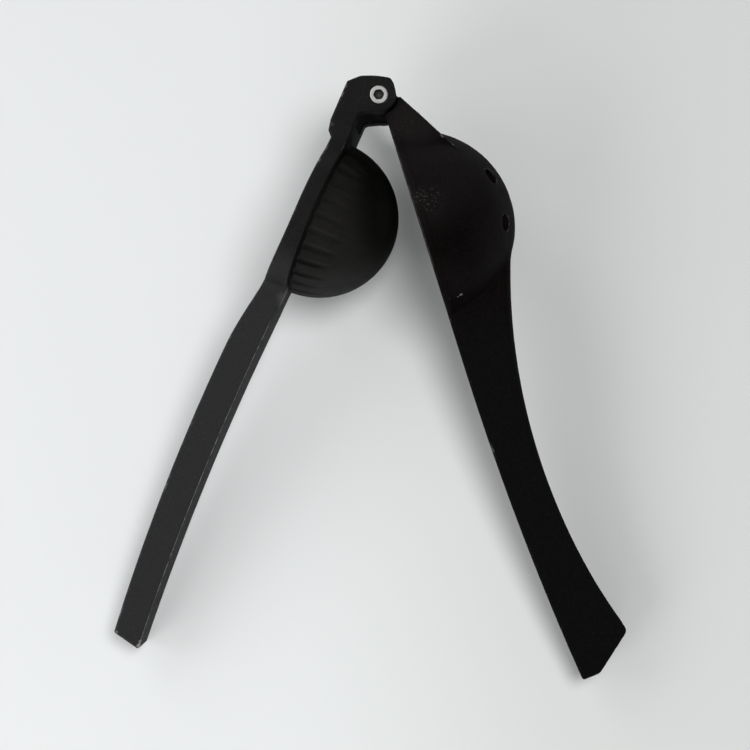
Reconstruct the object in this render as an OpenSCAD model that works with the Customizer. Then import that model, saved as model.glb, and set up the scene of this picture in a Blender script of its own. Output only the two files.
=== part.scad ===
// Hinged lemon squeezer: a bowl lever and a plunger lever on one hinge, lying on its side half open.
// The hinge centre is the origin. Each lever is drawn closed, along +X, with the hinge axis on Z and
// the bowl bulging towards +Y. The levers are swung apart and laid down on their three lowest points.

/* [Pose] */
// Angle between the two levers, in degrees
open_angle = 40.8; // [25:0.2:60]
// Angle between the bowl lever and the part's own Y axis, in degrees
bowl_lean = 17.4; // [10:0.2:25]

/* [Hinge] */
// Diameter of the hinge barrel's shank
pin_d = 5; // [4.6:0.1:5.4]
// Diameter of the heads at both ends of the hinge pin
pin_head_d = 6.2; // [5.8:0.1:7.4]
// Thickness of those heads
pin_head_t = 1.8; // [1.4:0.1:2.4]
// Diameter of the screw that draws the barrel tight
pin_screw_d = 3; // [2.4:0.1:3.4]
// Length of that screw under its head
pin_screw_l = 12; // [8:0.5:15]
// Width across flats of the hexagon sockets in the hinge pin
pin_socket_w = 3.2; // [2.4:0.1:3.6]
// Depth of those sockets
pin_socket_depth = 1.4; // [0.8:0.1:1.6]
// Radial running clearance of the pin in its bores
pin_play = 0.05; // [0.03:0.01:0.09]
// Width of the knuckle between the ears
knuckle_w = 19; // [16:0.5:21]
// Radius of the knuckle
knuckle_r = 5.5; // [5:0.1:5.8]
// Thickness of each hinge washer
washer_t = 0.8; // [0.5:0.1:1.2]
// Radius of each hinge washer
washer_r = 5.2; // [4.4:0.1:5.6]
// Side play on each side of the knuckle
side_play = 0.1; // [0.05:0.05:0.3]
// Thickness of each ear
ear_t = 7.6; // [6.6:0.1:8.6]
// Radius of the ears round the hinge
ear_r = 5.9; // [5.6:0.1:6.6]

/* [Bowl] */
// Distance from the hinge centre to the centre of the bowl
bowl_reach = 46.6; // [45.4:0.2:52]
// Inner radius of the bowl
bowl_r = 31.1; // [29.5:0.1:32]
// How far the centre of the bowl's sphere lies below the rim
bowl_drop = 0.7; // [0.2:0.1:1.2]
// Wall of the bowl
bowl_wall = 3.2; // [2.6:0.1:4]
// Height of the band round the bowl's rim
rim_h = 2.6; // [1.5:0.1:4]
// How far the rim band stands out from the bowl
rim_step = 0.4; // [0.2:0.1:0.8]
// Diameter of the juice holes
hole_d = 6; // [4:0.2:7]
// Number of juice holes round the middle one
hole_count = 6; // [4:1:8]
// Angle between the bowl's axis and those holes, in degrees
hole_lean = 30; // [26:1:36]

/* [Bowl lever] */
// Distance from the hinge centre to the tip of the bowl lever
bowl_lever_l = 216.2; // [190:0.2:230]
// Distance from the hinge centre to the crease where the arm begins to narrow towards the hinge
neck_l = 9.4; // [9:0.1:12]
// Angle by which the arm's sides slope inwards there, in degrees
neck_slope = 15; // [10:1:30]
// How far each side steps in at that crease
neck_step = 0.7; // [0:0.1:1.5]
// Gap between the ears and the rounded recess in which they swing
swing_gap = 0.9; // [0.8:0.1:2]
// Distance from the hinge centre to the line of the arm's back
arm_back = 4.7; // [4.2:0.1:5.1]
// How far the back of the arm dips below the bowl's outer skin
arm_dip = 5.8; // [5.4:0.1:6.6]
// Width of the arm, along the hinge axis
arm_w = 36; // [30:0.5:36]
// How far the back of the handle dips below the bowl's outer skin
handle_dip = 1.3; // [1.1:0.1:2.6]
// Distance from the hinge centre to the handle's waist
waist_at = 135.4; // [125:0.2:150]
// Thickness of the handle at its waist
waist_t = 15.8; // [12:0.1:18]
// Distance from the hinge centre to where the palm edge begins to curve
palm_bend_at = 98; // [90:1:120]
// How far the palm edge has curved away at the tip
palm_rise = 6.9; // [3:0.1:10]
// Distance from the tip back to the heel of the hooked end
heel_back = 12.1; // [8:0.1:18]
// Length of the short face at the tip
tip_face = 6.6; // [5:0.2:9]
// Angle by which that face leans back, in degrees
tip_lean = 5; // [2:0.5:15]

/* [Plunger lever] */
// Distance from the hinge centre to the tip of the plunger lever
plunger_lever_l = 211.2; // [185:0.2:225]
// Distance from the hinge centre to the lever's inner face
face_gap = 3.6; // [3.2:0.1:4.4]
// Distance from the hinge centre to the back of the head
head_back = 11.9; // [11:0.1:14]
// Distance from the hinge centre to the end of the head
head_l = 18.2; // [16:0.2:19.6]
// Length of the slope at the end of the head's back
head_ramp = 3.8; // [2:0.1:6]
// How far the head's back comes in along that slope
head_drop = 0.8; // [0.4:0.1:1.4]
// Length of the small step from there down to the ring's back
head_step = 1.8; // [0.6:0.1:2.4]
// Size of the cut corner between the head's back and its end
head_cut = 3.4; // [2:0.1:5]
// Distance from the hinge centre to the corner between the head's end and the ears
head_nose = 7; // [6.7:0.1:7.4]
// How far the curved faces on both sides of that corner bulge
head_bulge = 0.4; // [0.1:0.05:0.7]
// How far the ears' foot stands out in front of their round end
ear_toe = 2.4; // [1.6:0.1:3.2]
// Distance from the hinge centre to the floor of the slot between the ears
slot_l = 12.5; // [11:0.5:14]
// How far the ring stands out round the dome
ring_ledge = 1.95; // [1:0.05:3]
// Thickness of the ring on the head's side
ring_t = 5.7; // [5:0.1:7]
// Length beyond the ring over which the back eases into the handle
ease_run = 24; // [16:1:32]
// Distance beyond the ring at which the handle's inner edge begins
inner_lead = 11; // [6:0.5:16]
// Distance from the hinge centre to the thickest part of the handle
crown_at = 128; // [115:1:140]
// Thickness of the handle there
crown_t = 11.2; // [9:0.1:13]
// Distance from the hinge centre to the line of the handle's inner edge there
crown_gap = 4.7; // [3.2:0.1:5.6]
// How far the inner edge has curved back at the tip
inner_rise = 3.5; // [2:0.1:6]
// How far the back edge has curved in at the tip
outer_rise = 4.3; // [3:0.1:6]
// How far the back corner of the tip stands short of the inner one
tip_rake = 2.1; // [0:0.1:4]

/* [Handles] */
// Width of both handles where they leave the bowl and the ring, along the hinge axis
root_w = 19.6; // [16:0.2:22]
// Width of both handles at their tips
tip_w = 14.4; // [12:0.2:18]

/* [Dome] */
// Clearance round the closed dome's base in the bowl
squeeze_gap = 2.85; // [1.5:0.05:3.5]
// How far the centre of the dome's sphere lies below the dome's base
dome_drop = 1.1; // [0.5:0.1:2]
// Wall of the dome under its grooves
dome_wall = 2.8; // [2.2:0.1:3.4]
// Height of the narrow foot that makes the shadow line
foot_h = 0.8; // [0.4:0.1:1.2]
// How far the foot stands in from the dome's edge
foot_in = 1.6; // [1.2:0.1:1.8]
// Number of ribs
rib_count = 30; // [20:1:34]
// Width of a rib
rib_w = 3.3; // [2.4:0.1:3.8]
// Depth of the grooves at the dome's base
rib_depth = 0.9; // [0.4:0.1:1.2]
// Height at which the grooves run out
rib_h = 13; // [10:0.5:16]
// Number of screws that hold the dome
screw_count = 3; // [2:1:5]
// Diameter of those screws
screw_d = 3; // [2.5:0.1:3.5]
// Length of those screws under the head
screw_l = 9; // [7:0.5:11]
// Diameter of their heads
screw_head_d = 5.5; // [5:0.1:6]
// Height of their heads
screw_head_h = 2.6; // [2:0.1:3]
// Width across flats of their hexagon sockets
screw_socket_w = 2.5; // [2:0.1:3]
// Thickness of the lugs that the screws clamp
lug_t = 3; // [2.4:0.1:3.4]
// Radius of the screw bosses inside the dome
boss_r = 3.4; // [3:0.1:3.8]
// How far a boss sinks into the dome's wall
boss_sink = 0.4; // [0.2:0.1:1]
// Thickness of a boss beyond the end of its screw
boss_roof = 1.5; // [1:0.1:2]

/* [Hidden] */

$fn = 96;
// Overshoot that lets a cut break cleanly through a face
over = 1;
// Radial clearance of a screw in the thread that holds it
thread_play = 0.03;
// Radial clearance of a screw or a head in a hole that it passes through
pass_play = 0.1;
// Gap at the end of a shank that must not bottom out
end_gap = 0.3;
// Depth at which a hinge head lies below the ear round it
head_sink = 0.1;
// Steps along a long curve and along a short one
long_steps = 24;
short_steps = 10;

coat = "#1d1b1b";
steel = "#c9c7c2";
nylon = "#e4e0d4";

// A point (x, y, z) turned by a degrees about Z
function turned(p, a) = [p.x * cos(a) - p.y * sin(a), p.x * sin(a) + p.y * cos(a), p.z];
function unit(v) = v / norm(v);
// Points along a circle's arc from angle a0 to angle a1
function arc(c, r, a0, a1, steps = long_steps) =
    [for (i = [0 : steps]) let (a = a0 + (a1 - a0) * i / steps) [c.x + r * cos(a), c.y + r * sin(a)]];
// Points of a curve y = f(x) from x0 to x1
function curve(f, x0, x1, steps = long_steps) =
    [for (i = [0 : steps]) let (x = x0 + (x1 - x0) * i / steps) [x, f(x)]];
// Points from a almost to b, along a curve that bulges by h to the left
function bulged(a, b, h, steps = short_steps) =
    let (d = b - a, n = unit([-d.y, d.x]))
    [for (i = [0 : steps - 1]) let (t = i / steps) a + t * d + 4 * h * t * (1 - t) * n];
// Radius of a shallow arc that leaves its tangent by rise over a length run
function arc_r(run, rise) = (run * run + rise * rise) / (2 * rise);
// Height of such an arc above its tangent, at a distance d from the touching point
function arc_h(r, d) = r - sqrt(r * r - d * d);
// Smooth step from 0 to 1
function ease(t) = t * t * (3 - 2 * t);

// Hinge
slot_w = knuckle_w + 2 * (washer_t + side_play);
head_w = slot_w + 2 * ear_t;
pin_bore_r = pin_d / 2 + pin_play;
// Distance of the seats of both hinge heads from the middle plane
pin_seat = head_w / 2 - head_sink - pin_head_t;

// Bowl and dome
bowl_out_r = bowl_r + bowl_wall;
rim_r = bowl_out_r + rim_step;
dome_r = bowl_r - squeeze_gap;
// The dome's sphere has its centre here, and its hollow has this radius at the base
dome_y = foot_h - face_gap - dome_drop;
cup_r = dome_r - rib_depth - dome_wall;
cup_edge_r = sqrt(cup_r * cup_r - dome_drop * dome_drop);
screw_ring_r = cup_edge_r - boss_r + boss_sink;
boss_h = screw_l - lug_t + end_gap + boss_roof;
groove_w = 2 * PI * dome_r / rib_count - rib_w;
// Radius of a groove's floor at height h; it meets the dome at rib_h
function groove_floor(h) = sqrt(dome_r * dome_r - h * h) - rib_depth * (1 - h * h / (rib_h * rib_h));

// Radius about the bowl's centre at which a plate of width w ends in the middle of the bowl's wall
function wall_r(w) = sqrt(pow(bowl_r + bowl_wall / 2, 2) - w * w / 4);

// Bowl lever: the backs of arm and handle touch circles that lie under the bowl's skin
arm_r = bowl_out_r - arm_dip;
swing_r = ear_r + swing_gap;
handle_r = bowl_out_r - handle_dip;
bowl_c = [bowl_reach, -bowl_drop];
arm_slope = asin((arm_r - arm_back) / norm(bowl_c)) - atan2(bowl_drop, bowl_reach);
arm_normal = [-sin(arm_slope), cos(arm_slope)];
// The handle's back is an arc through its waist that touches a circle about the bowl's centre
back_run = waist_at - bowl_reach;
back_h = waist_t + bowl_drop;
back_r = (back_run * back_run + back_h * back_h - handle_r * handle_r) / (2 * (handle_r - back_h));
back_c = [waist_at, waist_t + back_r];
root_a = atan2(back_c.y - bowl_c.y, back_c.x - bowl_c.x);
heel_a = asin((bowl_lever_l - heel_back - waist_at) / back_r) - 90;
palm_run = bowl_lever_l - palm_bend_at;
palm_r = arc_r(palm_run, palm_rise);
bowl_tip = [bowl_lever_l, palm_rise];

// Plunger lever
ring_r = dome_r + ring_ledge;
ring_near_x = bowl_reach - ring_r;
ring_far_x = bowl_reach + ring_r;
// Where the head has grown into the full width of the ring
head_root_x = bowl_reach - sqrt(ring_r * ring_r - head_w * head_w / 4) + over;
// Corner where the rounded ear meets the lever's inner face
ear_front_x = ear_r + ear_toe;
// Corners of the head's end
head_corner = [-head_cut, head_cut - head_back];
nose = head_nose * [cos(170), sin(170)];
ring_back_y = -face_gap - ring_t;
// The back of the lever eases from the ring to the handle between these two places
ease_from = bowl_reach;
ease_to = ring_far_x + ease_run;
// The curve of the handle's inner edge begins here
inner_from = ring_far_x + inner_lead;
inner_r = arc_r(plunger_lever_l - crown_at, inner_rise);
outer_r = arc_r(plunger_lever_l - tip_rake - crown_at, outer_rise);
inner_y = function (x) arc_h(inner_r, x - crown_at) - crown_gap;
outer_y = function (x) arc_h(outer_r, x - crown_at) - crown_gap - crown_t;
ease_back = function (x)
    let (t = ease((x - ease_from) / (ease_to - ease_from))) ring_back_y * (1 - t) + outer_y(x) * t;
plunger_tip = [plunger_lever_l, inner_y(plunger_lever_l)];

// It lies on three points: the bowl's rim and the lower corner of each handle's tip
bowl_turn = bowl_lean - 90;
plunger_turn = bowl_turn - open_angle;
bowl_foot = turned([bowl_tip.x, bowl_tip.y, -tip_w / 2], bowl_turn);
plunger_foot = turned([plunger_tip.x, plunger_tip.y, -tip_w / 2], plunger_turn);
rim_dir = turned([1, 0, 0], bowl_turn);
// Lowest point of the rim's circle for an upward direction n
function rim_foot(n) =
    let (d = [n * rim_dir, n.z])
    bowl_reach * rim_dir - rim_r / norm(d) * (d.x * rim_dir + [0, 0, d.y]);
// Upward direction of the plane through the three points
function up_from(n) = unit(cross(plunger_foot - rim_foot(n), bowl_foot - rim_foot(n)));
up = up_from(up_from(up_from([0, 0, 1])));
lay_x = atan2(up.y, up.z);
lay_y = -atan2(up.x, norm([up.y, up.z]));

// Places a piece drawn in the closed lever frame on the bowl lever of the squeezer as it lies
module on_bowl_lever() { rotate([lay_x, lay_y, 0]) rotate([0, 0, bowl_turn]) children(); }
// Places such a piece on the plunger lever
module on_plunger_lever() { rotate([lay_x, lay_y, 0]) rotate([0, 0, plunger_turn]) children(); }
// Stands a shape drawn along +Z on the bowl's centre line, along +Y
module about_bowl_axis(y = 0) { translate([bowl_reach, y, 0]) rotate([-90, 0, 0]) children(); }
// A plate of width w with its middle on the hinge's middle plane
module plate(points, w) { linear_extrude(w, center = true) polygon(points); }
module hexagon(w, h) { cylinder(h = h, d = w / cos(30), $fn = 6); }
// Copies in a circle about Z, the first one a part of a step away from X
module ring_of(n, first = 0.5) {
    for (i = [0 : n - 1]) rotate([0, 0, 360 * (i + first) / n]) children();
}
// Half the width of a handle of length l, at the distance x from the hinge
function half_w(x, l) =
    (root_w + (tip_w - root_w) * (x - bowl_reach - bowl_out_r) / (l - bowl_reach - bowl_out_r)) / 2;
// A handle's plate, tapered towards its tip
module handle_plate(points, l) {
    ends = [bowl_reach, l + over];
    intersection() {
        plate(points, 2 * root_w);
        rotate([90, 0, 0]) linear_extrude(4 * bowl_out_r, center = true)
            polygon([[ends[0], half_w(ends[0], l)], [ends[1], half_w(ends[1], l)],
                     [ends[1], -half_w(ends[1], l)], [ends[0], -half_w(ends[0], l)]]);
    }
}

// The arm into the bowl's wall, w wide
module arm(w) {
    plate(concat([arm_back * arm_normal, bowl_c + arm_r * arm_normal],
                 arc(bowl_c, wall_r(w), 90 + arm_slope, 180 - asin(bowl_drop / wall_r(w)), short_steps),
                 [[0, 0]]), w);
}
// The full arm, narrowing towards the hinge and hollowed for the ears
module wide_arm() {
    crease_w = arm_w - 2 * neck_step;
    neck_w = crease_w - 2 * neck_l * tan(neck_slope);
    intersection() {
        difference() {
            arm(arm_w);
            cylinder(h = 2 * arm_w, r = swing_r, center = true);
        }
        rotate([90, 0, 0]) linear_extrude(4 * bowl_out_r, center = true)
            polygon([[0, neck_w / 2], [neck_l, crease_w / 2], [neck_l + neck_step, arm_w / 2],
                     [bowl_reach, arm_w / 2], [bowl_reach, -arm_w / 2],
                     [neck_l + neck_step, -arm_w / 2], [neck_l, -crease_w / 2], [0, -neck_w / 2]]);
    }
}

// The handle with its hooked tip, from the bowl's wall
module bowl_handle() {
    handle_plate(concat(arc(back_c, back_r, root_a - 180, heel_a),
                        [bowl_tip + tip_face * [-sin(tip_lean), cos(tip_lean)]],
                        arc([palm_bend_at, palm_r], palm_r, asin(palm_run / palm_r) - 90, -90),
                        arc(bowl_c, wall_r(root_w + over), asin(bowl_drop / wall_r(root_w + over)),
                            root_a, short_steps)),
                 bowl_lever_l);
}

module juice_holes() {
    cylinder(h = rim_r + over, d = hole_d);
    ring_of(hole_count, 0) rotate([0, hole_lean, 0]) cylinder(h = rim_r + over, d = hole_d);
}

// Bowl, arm, knuckle and handle in one casting
module bowl_lever() {
    color(coat) on_bowl_lever() difference() {
        union() {
            about_bowl_axis() intersection() {
                translate([0, 0, -bowl_drop]) sphere(r = bowl_out_r);
                cylinder(h = rim_r, r = rim_r);
            }
            about_bowl_axis() cylinder(h = rim_h, r = rim_r);
            cylinder(h = knuckle_w, r = knuckle_r, center = true);
            arm(knuckle_w);
            wide_arm();
            bowl_handle();
        }
        about_bowl_axis(-bowl_drop) sphere(r = bowl_r);
        about_bowl_axis(-bowl_drop) juice_holes();
        cylinder(h = head_w, r = pin_bore_r, center = true);
    }
}

// The head that forks into the two ears
module head() {
    ear_arc = arc([0, 0], ear_r, 130, 12, short_steps);
    plate(concat([[head_l + head_step, ring_back_y], [head_l, head_drop - head_back],
                  [head_l - head_ramp, -head_back], [0, -head_back]],
                 bulged(head_corner, nose, head_bulge), bulged(nose, ear_arc[0], head_bulge), ear_arc,
                 [[ear_front_x, -face_gap], [head_root_x, -face_gap],
                  [head_root_x, ring_back_y]]), head_w);
}

// The round ring that the dome stands on; its back falls away towards the handle
module dome_ring() {
    intersection() {
        about_bowl_axis(-bowl_reach) cylinder(h = bowl_reach, r = ring_r);
        plate(concat([[ring_near_x - over, ring_back_y]],
                     curve(ease_back, ease_from, ring_far_x + over, short_steps),
                     [[ring_far_x + over, -face_gap], [ring_near_x - over, -face_gap]]),
              2 * ring_r + over);
    }
}

module plunger_handle() {
    root_x = bowl_reach + cup_r + over;
    handle_plate(concat([[root_x, -face_gap], [root_x, ease_back(root_x)]],
                        curve(ease_back, root_x + over, ease_to, long_steps),
                        curve(outer_y, ease_to + over, plunger_lever_l - tip_rake),
                        curve(inner_y, plunger_lever_l, inner_from),
                        [[ring_far_x - over, -face_gap]]), plunger_lever_l);
}

// A pad of radius boss_r round a screw of the dome, reaching out to the radius reach
module screw_pad(h, reach) {
    translate([screw_ring_r, 0, 0]) cylinder(h = h, r = boss_r);
    translate([screw_ring_r, -boss_r, 0]) cube([reach - screw_ring_r, 2 * boss_r, h]);
}

// Ears, ring and handle in one casting
module plunger_lever() {
    color(coat) on_plunger_lever() {
        difference() {
            union() {
                head();
                dome_ring();
                plunger_handle();
            }
            about_bowl_axis(-bowl_reach) cylinder(h = bowl_reach, r = cup_edge_r);
            translate([slot_l - 4 * head_back, -2 * head_back, -slot_w / 2])
                cube([4 * head_back, 4 * head_back, slot_w]);
            cylinder(h = 2 * head_w, r = pin_bore_r, center = true);
            for (side = [0, 180])
                rotate([side, 0, 0]) translate([0, 0, pin_seat])
                    cylinder(h = head_w, r = pin_head_d / 2 + pass_play);
        }
        about_bowl_axis(-face_gap - lug_t) difference() {
            ring_of(screw_count) screw_pad(lug_t, cup_r + ring_ledge);
            ring_of(screw_count) translate([screw_ring_r, 0, -over])
                cylinder(h = lug_t + 2 * over, r = screw_d / 2 + pass_play);
        }
    }
}

// Everything outside the grooves' floor, in the stretch where the dome is grooved
module groove_band() {
    step = rib_h / short_steps;
    rotate_extrude() polygon(concat(
        [for (h = [-step : step : rib_h + step]) [groove_floor(h), h]],
        [[bowl_out_r, rib_h + step], [bowl_out_r, -step]]));
}

// Ribbed hollow dome that presses into the bowl
module plunger_dome() {
    color(coat) on_plunger_lever() {
        about_bowl_axis(dome_y) difference() {
            intersection() {
                sphere(r = dome_r);
                translate([0, 0, dome_drop]) cylinder(h = dome_r, r = dome_r);
            }
            sphere(r = cup_r);
            intersection() {
                groove_band();
                ring_of(rib_count) translate([cup_r, -groove_w / 2, -over])
                    cube([bowl_out_r - cup_r, groove_w, rib_h + 2 * over]);
            }
        }
        about_bowl_axis(-face_gap) difference() {
            union() {
                cylinder(h = foot_h + over, r = dome_r - foot_in);
                ring_of(screw_count) screw_pad(boss_h, cup_r);
            }
            difference() {
                translate([0, 0, -over]) cylinder(h = foot_h + 3 * over, r = cup_edge_r);
                ring_of(screw_count) screw_pad(boss_h, cup_r + over);
            }
            ring_of(screw_count) translate([screw_ring_r, 0, -over])
                cylinder(h = screw_l - lug_t + end_gap + over, r = screw_d / 2 + thread_play);
        }
    }
}

// Screws that hold the dome to the lugs of the ring
module dome_screws() {
    color(steel) on_plunger_lever() about_bowl_axis(-face_gap - lug_t)
        ring_of(screw_count) translate([screw_ring_r, 0, 0]) difference() {
            union() {
                cylinder(h = screw_l, d = screw_d);
                translate([0, 0, -screw_head_h]) cylinder(h = screw_head_h, d = screw_head_d);
            }
            translate([0, 0, -screw_head_h - over])
                hexagon(screw_socket_w, over + screw_head_h / 2);
        }
}

// A hinge head with its socket, standing on its seat
module pin_head() {
    translate([0, 0, pin_seat]) difference() {
        cylinder(h = pin_head_t, d = pin_head_d);
        translate([0, 0, pin_head_t - pin_socket_depth])
            hexagon(pin_socket_w, pin_socket_depth + over);
    }
}

// Barrel that passes through the near ear and the knuckle into the far ear
module hinge_barrel() {
    color(steel) on_plunger_lever() {
        pin_head();
        difference() {
            translate([0, 0, end_gap - pin_seat]) cylinder(h = 2 * pin_seat - end_gap, d = pin_d);
            translate([0, 0, -pin_seat])
                cylinder(h = pin_screw_l + end_gap, r = pin_screw_d / 2 + thread_play);
        }
    }
}

// Screw that enters the barrel from the far ear
module hinge_screw() {
    color(steel) on_plunger_lever() {
        rotate([180, 0, 0]) pin_head();
        translate([0, 0, -pin_seat]) cylinder(h = pin_screw_l, d = pin_screw_d);
    }
}

// Washer against the inside of an ear
module hinge_washer() {
    translate([0, 0, slot_w / 2 - washer_t]) difference() {
        cylinder(h = washer_t, r = washer_r);
        translate([0, 0, -over]) cylinder(h = washer_t + 2 * over, r = pin_d / 2 + pass_play);
    }
}
module near_washer() { color(nylon) on_plunger_lever() hinge_washer(); }
module far_washer() { color(nylon) on_plunger_lever() mirror([0, 0, 1]) hinge_washer(); }

bowl_lever();
plunger_lever();
plunger_dome();
dome_screws();
hinge_barrel();
hinge_screw();
near_washer();
far_washer();
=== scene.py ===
import math
from functools import partial
import bpy
import bmesh
import numpy as np
from mathutils import Matrix, Vector


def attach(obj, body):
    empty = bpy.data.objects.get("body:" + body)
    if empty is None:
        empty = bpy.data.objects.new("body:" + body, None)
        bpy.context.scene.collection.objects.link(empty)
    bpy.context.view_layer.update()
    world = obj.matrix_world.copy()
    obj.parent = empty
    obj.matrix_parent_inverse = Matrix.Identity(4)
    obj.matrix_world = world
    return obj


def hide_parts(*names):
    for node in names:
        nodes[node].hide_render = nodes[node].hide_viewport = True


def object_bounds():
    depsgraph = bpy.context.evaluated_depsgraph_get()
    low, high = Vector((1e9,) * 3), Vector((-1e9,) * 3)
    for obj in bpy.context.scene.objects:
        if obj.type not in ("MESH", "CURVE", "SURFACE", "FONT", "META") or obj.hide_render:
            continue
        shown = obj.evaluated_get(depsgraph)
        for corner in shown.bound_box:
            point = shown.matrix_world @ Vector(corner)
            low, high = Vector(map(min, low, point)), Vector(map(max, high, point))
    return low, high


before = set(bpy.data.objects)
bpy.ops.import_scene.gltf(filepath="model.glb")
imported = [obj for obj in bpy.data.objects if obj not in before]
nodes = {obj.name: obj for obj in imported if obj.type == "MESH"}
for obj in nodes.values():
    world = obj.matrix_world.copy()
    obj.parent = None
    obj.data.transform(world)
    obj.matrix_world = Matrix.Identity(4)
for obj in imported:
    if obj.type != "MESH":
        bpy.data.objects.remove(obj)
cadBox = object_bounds()
scene = bpy.context.scene
print("frame loaded with", len(nodes), "nodes")

mm = 0.001
mmScale = Matrix.Scale(mm, 4)

# Each lever is shaped closed along +X with the hinge axis on Z, then turned by these degrees to how it lies
pose = {
    "layX": 10.184,
    "layY": -0.70618,
    "bowlTurn": -72.6,
    "plungerTurn": -113.4,
}


def turnAbout(axis, degrees):
    return Matrix.Rotation(math.radians(degrees), 4, axis)


def movedBy(x, y, z):
    return Matrix.Translation((x * mm, y * mm, z * mm))


laid = turnAbout("Y", pose["layY"]) @ turnAbout("X", pose["layX"])
bowlFrame = laid @ turnAbout("Z", pose["bowlTurn"])
plungerFrame = laid @ turnAbout("Z", pose["plungerTurn"])
farSide = plungerFrame @ turnAbout("X", 180)


# Distance functions in millimetres: negative inside, with rounded joins and edges
def roundJoin(a, b, r):
    return np.maximum(r, np.minimum(a, b)) - np.hypot(np.maximum(r - a, 0), np.maximum(r - b, 0))


def roundMeet(a, b, r):
    return np.minimum(-r, np.maximum(a, b)) + np.hypot(np.maximum(r + a, 0), np.maximum(r + b, 0))


def roundCut(a, b, r):
    return roundMeet(a, -b, r)


def ease(t):
    t = np.clip(t, 0, 1)
    return t * t * (3 - 2 * t)


def between(a, b, t):
    return a + (b - a) * ease(t)


def onCircle(radius, degrees):
    a = math.radians(degrees)
    return radius * math.cos(a), radius * math.sin(a)


def arcRadius(run, rise):
    return (run * run + rise * rise) / (2 * rise)


def arcHeight(x, lowest, radius):
    # how high a hollow arc stands over its lowest point
    return radius - np.sqrt(radius ** 2 - (x - lowest) ** 2)


def alongBearing(angle, x, y):
    # how far a place lies along a bearing, and how far to its left
    return math.cos(angle) * x + math.sin(angle) * y, math.cos(angle) * y - math.sin(angle) * x


def planeThrough(x, y, p, q):
    # side of the line p to q; positive on its left
    dx, dy = q[0] - p[0], q[1] - p[1]
    return ((y - p[1]) * dx - (x - p[0]) * dy) / math.hypot(dx, dy)


def filletedOutline(corners, steps=6):
    # a closed outline, anticlockwise, of corners (x, y, radius); each becomes an arc of its radius
    out = []
    count = len(corners)
    for i, (x, y, radius) in enumerate(corners):
        p = np.array((x, y), float)
        before = np.array(corners[i - 1][:2], float) - p
        after = np.array(corners[(i + 1) % count][:2], float) - p
        lengthBefore, lengthAfter = np.linalg.norm(before), np.linalg.norm(after)
        before, after = before / lengthBefore, after / lengthAfter
        half = math.acos(float(np.clip(before @ after, -1, 1))) / 2
        if radius <= 0 or half > math.pi / 2 - 0.02:  # sharp, or nearly straight
            out.append(p)
            continue
        back = min(radius / math.tan(half), 0.49 * lengthBefore, 0.49 * lengthAfter)
        radius = back * math.tan(half)
        centre = p + (before + after) / np.linalg.norm(before + after) * (radius / math.sin(half))
        start, end = p + before * back - centre, p + after * back - centre
        for k in range(steps + 1):
            v = start * (1 - k / steps) + end * (k / steps)
            out.append(centre + v / np.linalg.norm(v) * radius)
    return np.array(out)


def outlineDistance(outline, x, y):
    best = np.full(x.shape, 1e9)
    inside = np.zeros(x.shape, bool)
    for i in range(len(outline)):
        ax, ay = outline[i]
        bx, by = outline[(i + 1) % len(outline)]
        ex, ey = bx - ax, by - ay
        wx, wy = x - ax, y - ay
        t = np.clip((wx * ex + wy * ey) / max(ex * ex + ey * ey, 1e-12), 0, 1)
        best = np.minimum(best, (wx - ex * t) ** 2 + (wy - ey * t) ** 2)
        crosses = (ay > y) != (by > y)
        if ey != 0:
            inside ^= crosses & (x < ax + (y - ay) * ex / ey)
    return np.where(inside, -1, 1) * np.sqrt(best)


# Sizes that both levers share, in millimetres as all sizes here
hinge = {
    "earRadius": 5.9,
    "earThickness": 7.6,
    "knuckleRadius": 5.5,
    "knuckleWidth": 19.0,
    "knuckleRound": 0.4,
    "washerThickness": 0.8,
    "washerRadius": 5.2,
    "washerPlay": 0.1,
    "washerBevel": 0.12,
    "sidePlay": 0.1,
    "pinDiameter": 5.0,
    "boreDiameter": 5.1,
    "boreRound": 0.2,
    "barrelShort": 0.3,
    "barrelBevel": 0.3,
    "headDiameter": 6.2,
    "headThickness": 1.8,
    "headRound": 0.42,
    "headSink": 0.1,
    "headPlay": 0.1,
    "socketWidth": 3.2,
    "socketDepth": 1.4,
    "screwDiameter": 3.0,
    "screwLength": 12.0,
    "screwBevel": 0.4,
}
slotWidth = hinge["knuckleWidth"] + 2 * (hinge["washerThickness"] + hinge["sidePlay"])
headWidth = slotWidth + 2 * hinge["earThickness"]
pinSeat = headWidth / 2 - hinge["headSink"] - hinge["headThickness"]

handles = {"rootWidth": 19.6, "tipWidth": 14.4}

bowl = {
    "reach": 46.6,
    "drop": 0.7,
    "innerRadius": 31.1,
    "wall": 3.2,
    "rimHeight": 2.6,
    "rimStep": 0.4,
    "rimStepRound": 0.35,
    "rimFillet": 0.4,
    "rimRound": 1.0,
    "lipRound": 0.45,
    "seamRun": 12.0,
    "holeDiameter": 6.0,
    "holeCount": 6,
    "holeLean": 30.0,
    "holeLip": 0.7,
}
bowlOuter = bowl["innerRadius"] + bowl["wall"]

arm = {
    "back": 4.7,
    "dip": 5.8,
    "width": 36.0,
    "neckAt": 9.4,
    "neckStep": 0.7,
    "neckSlope": 15.0,
    "neckRound": 0.4,
    "swingGap": 0.8,
    "swingRound": 0.3,
    "swingFillet": 0.5,
    "edge": 0.9,
    "edgeAtHinge": 0.2,
    "edgeFrom": 7.0,
    "edgeRun": 6.0,
    "fillet": 1.2,
}

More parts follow.
